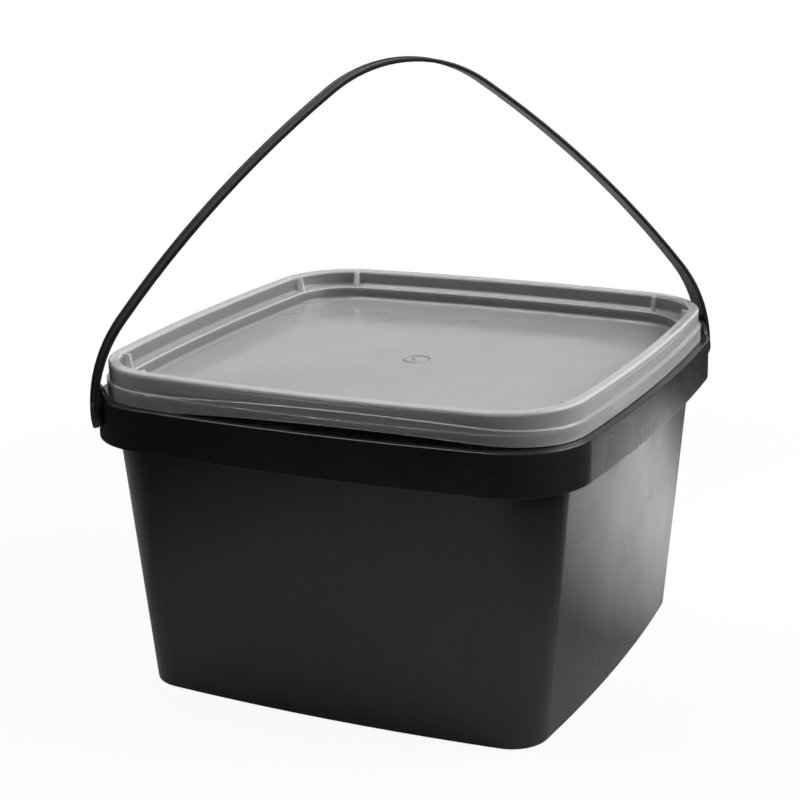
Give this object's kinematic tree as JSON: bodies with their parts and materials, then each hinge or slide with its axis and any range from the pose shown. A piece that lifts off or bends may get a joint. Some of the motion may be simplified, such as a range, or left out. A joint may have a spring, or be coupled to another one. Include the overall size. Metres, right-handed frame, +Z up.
{
  "type": "lidded bucket",
  "caption": "Square tapered plastic bucket with a recessed translucent lid and a strap bail handle that swings on ears at opposite corners.",
  "frame": {"origin": "middle of the base, on the plane the foot ring stands on", "axes": "+Z up, +X to the right along the front, +Y to the back; the handle's pivots lie on the diagonal between +X and +Y"},
  "size_m": [0.2076, 0.2076, 0.2425],
  "materials": {
    "black_plastic": "black polypropylene, satin moulded surface",
    "clouded_plastic": "natural translucent polypropylene, satin",
    "strap_plastic": "black polypropylene strap, satin"
  },
  "bodies": {
    "bucket": {"tub": "black_plastic"},
    "cover": {"lid": "clouded_plastic"},
    "bail": {"handle": "strap_plastic"}
  },
  "joints": [
    {"name": "handle_swing", "type": "hinge", "parent": "bucket", "child": "bail", "pos_m": [0, 0, 0.1138], "axis": [0.7071, 0.7071, 0], "range_deg": [-82.3, 85.7]},
    {"name": "lid_lift", "type": "slide", "parent": "bucket", "child": "cover", "axis": [0, 0, 1], "range_m": [0, 0.0044]}
  ]
}
